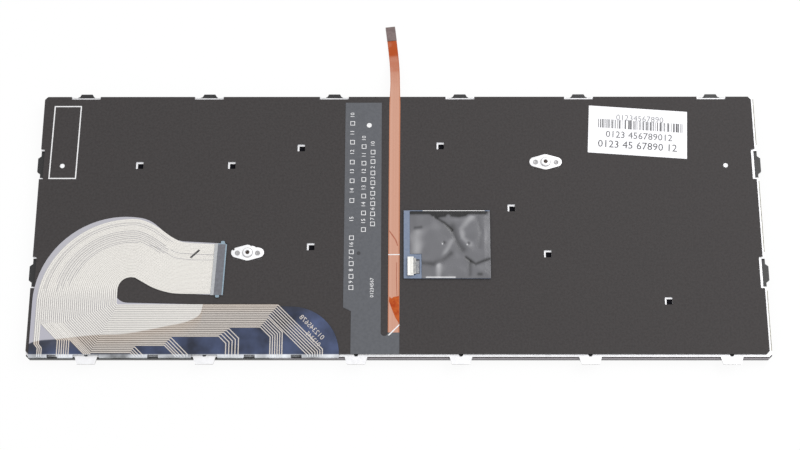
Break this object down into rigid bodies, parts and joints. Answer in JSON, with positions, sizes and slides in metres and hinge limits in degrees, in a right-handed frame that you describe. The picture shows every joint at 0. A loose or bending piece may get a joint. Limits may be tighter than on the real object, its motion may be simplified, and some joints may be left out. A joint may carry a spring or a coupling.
{
  "type": "laptop replacement keyboard",
  "caption": "Backlit laptop keyboard with a pointing stick, lying on its keycaps with its back film, circuit tail, backlight ribbon and nut plates up.",
  "frame": {"origin": "centre of the footprint, at the keycap tops that lie on the table", "axes": "+X along the key rows towards the Escape side, +Y towards the function row, +Z out of the back"},
  "size_m": [0.3066, 0.1526, 0.0074],
  "materials": {
    "frame_plastic": "fine moulded texture",
    "keycap_plastic": "matt coated",
    "plate_metal": "bare stamped sheet",
    "circuit_film": "clear film with silver print",
    "stiffener_film": "carbon-coated contacts",
    "guide_sheet": "clear sheet",
    "back_film": "matt printed film",
    "flex_coat": "soft-sheen coating",
    "led_body": "moulded",
    "ribbon_film": "polyimide over copper",
    "contact_film": "stiffened contacts",
    "board_laminate": "solder mask",
    "tape": "creased glossy tape",
    "connector_plastic": "moulded",
    "latch_plastic": "moulded",
    "nut_metal": "plated",
    "rivet_metal": "plated",
    "sensor_metal": "bare",
    "stick_rubber": "matt rubber",
    "dome_rubber": "silicone",
    "scissor_plastic": "moulded",
    "bar_wire": "drawn wire"
  },
  "bodies": {
    "base": {"key_frame": "frame_plastic", "fixed_keys": "keycap_plastic", "base_plate": "plate_metal", "membrane": "circuit_film", "tail_stiffener": "stiffener_film", "light_guide": "guide_sheet", "back_film": "back_film", "led_flex": "flex_coat", "leds": "led_body", "backlight_ribbon": "ribbon_film", "ribbon_stiffener": "contact_film", "stick_board": "board_laminate", "board_tape": "tape", "board_connector": "connector_plastic", "nut_plates": "nut_metal", "plate_rivets": "rivet_metal", "stick_sensor": "sensor_metal", "stick_cap": "stick_rubber", "rubber_domes": "dome_rubber", "outer_scissors": "scissor_plastic", "inner_scissors": "scissor_plastic", "stabiliser_bars": "bar_wire"},
    "key_q": {"key_q": "keycap_plastic"},
    "key_w": {"key_w": "keycap_plastic"},
    "key_e": {"key_e": "keycap_plastic"},
    "key_r": {"key_r": "keycap_plastic"},
    "key_t": {"key_t": "keycap_plastic"},
    "key_y": {"key_y": "keycap_plastic"},
    "key_u": {"key_u": "keycap_plastic"},
    "key_i": {"key_i": "keycap_plastic"},
    "key_o": {"key_o": "keycap_plastic"},
    "key_p": {"key_p": "keycap_plastic"},
    "key_a": {"key_a": "keycap_plastic"},
    "key_s": {"key_s": "keycap_plastic"},
    "key_d": {"key_d": "keycap_plastic"},
    "key_f": {"key_f": "keycap_plastic"},
    "key_g": {"key_g": "keycap_plastic"},
    "key_h": {"key_h": "keycap_plastic"},
    "key_j": {"key_j": "keycap_plastic"},
    "key_k": {"key_k": "keycap_plastic"},
    "key_l": {"key_l": "keycap_plastic"},
    "key_z": {"key_z": "keycap_plastic"},
    "key_x": {"key_x": "keycap_plastic"},
    "key_c": {"key_c": "keycap_plastic"},
    "key_v": {"key_v": "keycap_plastic"},
    "key_b": {"key_b": "keycap_plastic"},
    "key_n": {"key_n": "keycap_plastic"},
    "key_m": {"key_m": "keycap_plastic"},
    "key_space": {"key_space": "keycap_plastic"},
    "key_enter": {"key_enter": "keycap_plastic"},
    "key_backspace": {"key_backspace": "keycap_plastic"},
    "key_left_shift": {"key_left_shift": "keycap_plastic"},
    "key_right_shift": {"key_right_shift": "keycap_plastic"},
    "key_tab": {"key_tab": "keycap_plastic"},
    "key_caps_lock": {"key_caps_lock": "keycap_plastic"},
    "key_arrow_left": {"key_arrow_left": "keycap_plastic"},
    "key_arrow_right": {"key_arrow_right": "keycap_plastic"},
    "key_arrow_up": {"key_arrow_up": "keycap_plastic"},
    "key_arrow_down": {"key_arrow_down": "keycap_plastic"},
    "latch": {"connector_latch": "latch_plastic"}
  },
  "joints": [
    {"name": "press_q", "type": "slide", "parent": "base", "child": "key_q", "axis": [0, 0, 1], "range_m": [0, 0.0015], "stiffness_N_per_m": 300, "springref_m": -0.0006, "deforming": ["outer_scissors", "inner_scissors", "rubber_domes"]},
    {"name": "press_w", "type": "slide", "parent": "base", "child": "key_w", "axis": [0, 0, 1], "range_m": [0, 0.0015], "stiffness_N_per_m": 300, "springref_m": -0.0006, "deforming": ["outer_scissors", "inner_scissors", "rubber_domes"]},
    {"name": "press_e", "type": "slide", "parent": "base", "child": "key_e", "axis": [0, 0, 1], "range_m": [0, 0.0015], "stiffness_N_per_m": 300, "springref_m": -0.0006, "deforming": ["outer_scissors", "inner_scissors", "rubber_domes"]},
    {"name": "press_r", "type": "slide", "parent": "base", "child": "key_r", "axis": [0, 0, 1], "range_m": [0, 0.0015], "stiffness_N_per_m": 300, "springref_m": -0.0006, "deforming": ["outer_scissors", "inner_scissors", "rubber_domes"]},
    {"name": "press_t", "type": "slide", "parent": "base", "child": "key_t", "axis": [0, 0, 1], "range_m": [0, 0.0015], "stiffness_N_per_m": 300, "springref_m": -0.0006, "deforming": ["outer_scissors", "inner_scissors", "rubber_domes"]},
    {"name": "press_y", "type": "slide", "parent": "base", "child": "key_y", "axis": [0, 0, 1], "range_m": [0, 0.0015], "stiffness_N_per_m": 300, "springref_m": -0.0006, "deforming": ["outer_scissors", "inner_scissors", "rubber_domes"]},
    {"name": "press_u", "type": "slide", "parent": "base", "child": "key_u", "axis": [0, 0, 1], "range_m": [0, 0.0015], "stiffness_N_per_m": 300, "springref_m": -0.0006, "deforming": ["outer_scissors", "inner_scissors", "rubber_domes"]},
    {"name": "press_i", "type": "slide", "parent": "base", "child": "key_i", "axis": [0, 0, 1], "range_m": [0, 0.0015], "stiffness_N_per_m": 300, "springref_m": -0.0006, "deforming": ["outer_scissors", "inner_scissors", "rubber_domes"]},
    {"name": "press_o", "type": "slide", "parent": "base", "child": "key_o", "axis": [0, 0, 1], "range_m": [0, 0.0015], "stiffness_N_per_m": 300, "springref_m": -0.0006, "deforming": ["outer_scissors", "inner_scissors", "rubber_domes"]},
    {"name": "press_p", "type": "slide", "parent": "base", "child": "key_p", "axis": [0, 0, 1], "range_m": [0, 0.0015], "stiffness_N_per_m": 300, "springref_m": -0.0006, "deforming": ["outer_scissors", "inner_scissors", "rubber_domes"]},
    {"name": "press_a", "type": "slide", "parent": "base", "child": "key_a", "axis": [0, 0, 1], "range_m": [0, 0.0015], "stiffness_N_per_m": 300, "springref_m": -0.0006, "deforming": ["outer_scissors", "inner_scissors", "rubber_domes"]},
    {"name": "press_s", "type": "slide", "parent": "base", "child": "key_s", "axis": [0, 0, 1], "range_m": [0, 0.0015], "stiffness_N_per_m": 300, "springref_m": -0.0006, "deforming": ["outer_scissors", "inner_scissors", "rubber_domes"]},
    {"name": "press_d", "type": "slide", "parent": "base", "child": "key_d", "axis": [0, 0, 1], "range_m": [0, 0.0015], "stiffness_N_per_m": 300, "springref_m": -0.0006, "deforming": ["outer_scissors", "inner_scissors", "rubber_domes"]},
    {"name": "press_f", "type": "slide", "parent": "base", "child": "key_f", "axis": [0, 0, 1], "range_m": [0, 0.0015], "stiffness_N_per_m": 300, "springref_m": -0.0006, "deforming": ["outer_scissors", "inner_scissors", "rubber_domes"]},
    {"name": "press_g", "type": "slide", "parent": "base", "child": "key_g", "axis": [0, 0, 1], "range_m": [0, 0.0015], "stiffness_N_per_m": 300, "springref_m": -0.0006, "deforming": ["outer_scissors", "inner_scissors", "rubber_domes"]},
    {"name": "press_h", "type": "slide", "parent": "base", "child": "key_h", "axis": [0, 0, 1], "range_m": [0, 0.0015], "stiffness_N_per_m": 300, "springref_m": -0.0006, "deforming": ["outer_scissors", "inner_scissors", "rubber_domes"]},
    {"name": "press_j", "type": "slide", "parent": "base", "child": "key_j", "axis": [0, 0, 1], "range_m": [0, 0.0015], "stiffness_N_per_m": 300, "springref_m": -0.0006, "deforming": ["outer_scissors", "inner_scissors", "rubber_domes"]},
    {"name": "press_k", "type": "slide", "parent": "base", "child": "key_k", "axis": [0, 0, 1], "range_m": [0, 0.0015], "stiffness_N_per_m": 300, "springref_m": -0.0006, "deforming": ["outer_scissors", "inner_scissors", "rubber_domes"]},
    {"name": "press_l", "type": "slide", "parent": "base", "child": "key_l", "axis": [0, 0, 1], "range_m": [0, 0.0015], "stiffness_N_per_m": 300, "springref_m": -0.0006, "deforming": ["outer_scissors", "inner_scissors", "rubber_domes"]},
    {"name": "press_z", "type": "slide", "parent": "base", "child": "key_z", "axis": [0, 0, 1], "range_m": [0, 0.0015], "stiffness_N_per_m": 300, "springref_m": -0.0006, "deforming": ["outer_scissors", "inner_scissors", "rubber_domes"]},
    {"name": "press_x", "type": "slide", "parent": "base", "child": "key_x", "axis": [0, 0, 1], "range_m": [0, 0.0015], "stiffness_N_per_m": 300, "springref_m": -0.0006, "deforming": ["outer_scissors", "inner_scissors", "rubber_domes"]},
    {"name": "press_c", "type": "slide", "parent": "base", "child": "key_c", "axis": [0, 0, 1], "range_m": [0, 0.0015], "stiffness_N_per_m": 300, "springref_m": -0.0006, "deforming": ["outer_scissors", "inner_scissors", "rubber_domes"]},
    {"name": "press_v", "type": "slide", "parent": "base", "child": "key_v", "axis": [0, 0, 1], "range_m": [0, 0.0015], "stiffness_N_per_m": 300, "springref_m": -0.0006, "deforming": ["outer_scissors", "inner_scissors", "rubber_domes"]},
    {"name": "press_b", "type": "slide", "parent": "base", "child": "key_b", "axis": [0, 0, 1], "range_m": [0, 0.0015], "stiffness_N_per_m": 300, "springref_m": -0.0006, "deforming": ["outer_scissors", "inner_scissors", "rubber_domes"]},
    {"name": "press_n", "type": "slide", "parent": "base", "child": "key_n", "axis": [0, 0, 1], "range_m": [0, 0.0015], "stiffness_N_per_m": 300, "springref_m": -0.0006, "deforming": ["outer_scissors", "inner_scissors", "rubber_domes"]},
    {"name": "press_m", "type": "slide", "parent": "base", "child": "key_m", "axis": [0, 0, 1], "range_m": [0, 0.0015], "stiffness_N_per_m": 300, "springref_m": -0.0006, "deforming": ["outer_scissors", "inner_scissors", "rubber_domes"]},
    {"name": "press_space", "type": "slide", "parent": "base", "child": "key_space", "axis": [0, 0, 1], "range_m": [0, 0.0015], "stiffness_N_per_m": 300, "springref_m": -0.0006, "deforming": ["outer_scissors", "inner_scissors", "rubber_domes", "stabiliser_bars"]},
    {"name": "press_enter", "type": "slide", "parent": "base", "child": "key_enter", "axis": [0, 0, 1], "range_m": [0, 0.0015], "stiffness_N_per_m": 300, "springref_m": -0.0006, "deforming": ["outer_scissors", "inner_scissors", "rubber_domes", "stabiliser_bars"]},
    {"name": "press_backspace", "type": "slide", "parent": "base", "child": "key_backspace", "axis": [0, 0, 1], "range_m": [0, 0.0015], "stiffness_N_per_m": 300, "springref_m": -0.0006, "deforming": ["outer_scissors", "inner_scissors", "rubber_domes", "stabiliser_bars"]},
    {"name": "press_left_shift", "type": "slide", "parent": "base", "child": "key_left_shift", "axis": [0, 0, 1], "range_m": [0, 0.0015], "stiffness_N_per_m": 300, "springref_m": -0.0006, "deforming": ["outer_scissors", "inner_scissors", "rubber_domes", "stabiliser_bars"]},
    {"name": "press_right_shift", "type": "slide", "parent": "base", "child": "key_right_shift", "axis": [0, 0, 1], "range_m": [0, 0.0015], "stiffness_N_per_m": 300, "springref_m": -0.0006, "deforming": ["outer_scissors", "inner_scissors", "rubber_domes", "stabiliser_bars"]},
    {"name": "press_tab", "type": "slide", "parent": "base", "child": "key_tab", "axis": [0, 0, 1], "range_m": [0, 0.0015], "stiffness_N_per_m": 300, "springref_m": -0.0006, "deforming": ["outer_scissors", "inner_scissors", "rubber_domes"]},
    {"name": "press_caps_lock", "type": "slide", "parent": "base", "child": "key_caps_lock", "axis": [0, 0, 1], "range_m": [0, 0.0015], "stiffness_N_per_m": 300, "springref_m": -0.0006, "deforming": ["outer_scissors", "inner_scissors", "rubber_domes"]},
    {"name": "press_arrow_left", "type": "slide", "parent": "base", "child": "key_arrow_left", "axis": [0, 0, 1], "range_m": [0, 0.0015], "stiffness_N_per_m": 300, "springref_m": -0.0006, "deforming": ["outer_scissors", "inner_scissors", "rubber_domes"]},
    {"name": "press_arrow_right", "type": "slide", "parent": "base", "child": "key_arrow_right", "axis": [0, 0, 1], "range_m": [0, 0.0015], "stiffness_N_per_m": 300, "springref_m": -0.0006, "deforming": ["outer_scissors", "inner_scissors", "rubber_domes"]},
    {"name": "press_arrow_up", "type": "slide", "parent": "base", "child": "key_arrow_up", "axis": [0, 0, 1], "range_m": [0, 0.0015], "stiffness_N_per_m": 300, "springref_m": -0.0006, "deforming": ["outer_scissors", "inner_scissors", "rubber_domes"]},
    {"name": "press_arrow_down", "type": "slide", "parent": "base", "child": "key_arrow_down", "axis": [0, 0, 1], "range_m": [0, 0.0015], "stiffness_N_per_m": 300, "springref_m": -0.0006, "deforming": ["outer_scissors", "inner_scissors", "rubber_domes"]},
    {"name": "latch_slide", "type": "slide", "parent": "base", "child": "latch", "axis": [-1, 0, 0], "range_m": [0, 0.001]}
  ]
}
